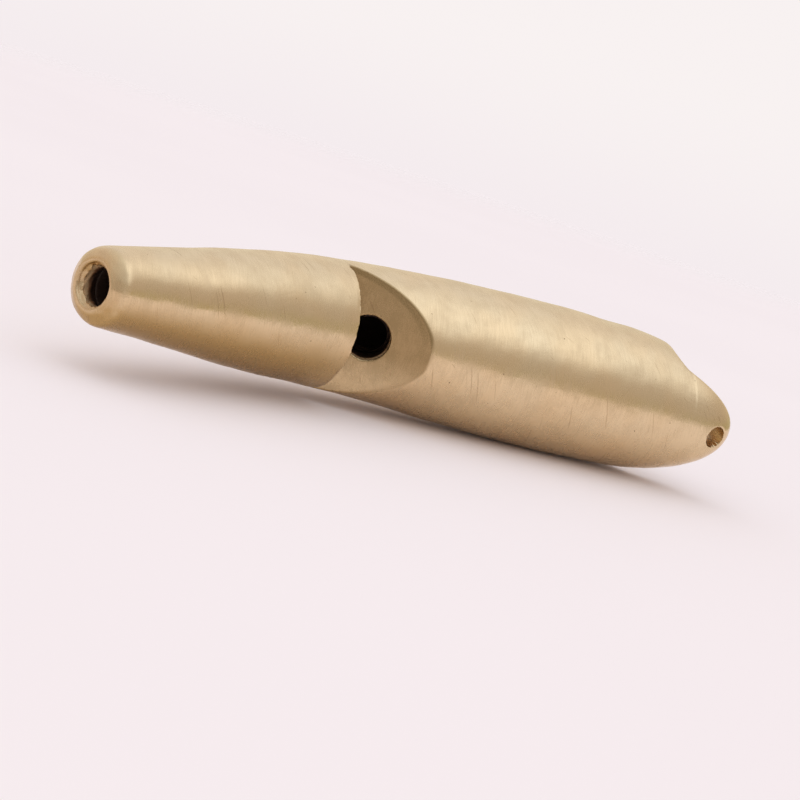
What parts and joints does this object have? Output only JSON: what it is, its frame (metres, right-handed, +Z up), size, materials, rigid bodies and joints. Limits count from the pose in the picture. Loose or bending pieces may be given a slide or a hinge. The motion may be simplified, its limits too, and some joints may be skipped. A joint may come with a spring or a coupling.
{
  "type": "pealess brass whistle",
  "caption": "Solid brass edge-blown whistle: tapered mouthpiece, open window notch, open tail bore and a drilled lanyard lug.",
  "frame": {"origin": "middle of the underside of the whistle's box, with the whistle lying on its side", "axes": "+X from the mouth to the tail, -Y to the side with the window notch and the lanyard lug, +Z up"},
  "size_m": [0.0716, 0.0186, 0.0145],
  "materials": {
    "satin_brass": "satin brushed",
    "tube_brass": "dull drawn",
    "braze": "rough as brazed"
  },
  "bodies": {
    "root": {"mouthpiece": "satin_brass", "body": "satin_brass", "lanyard_lug": "satin_brass", "windway_tube": "tube_brass", "resonator_tube": "tube_brass", "braze_fillet": "braze"}
  },
  "joints": []
}
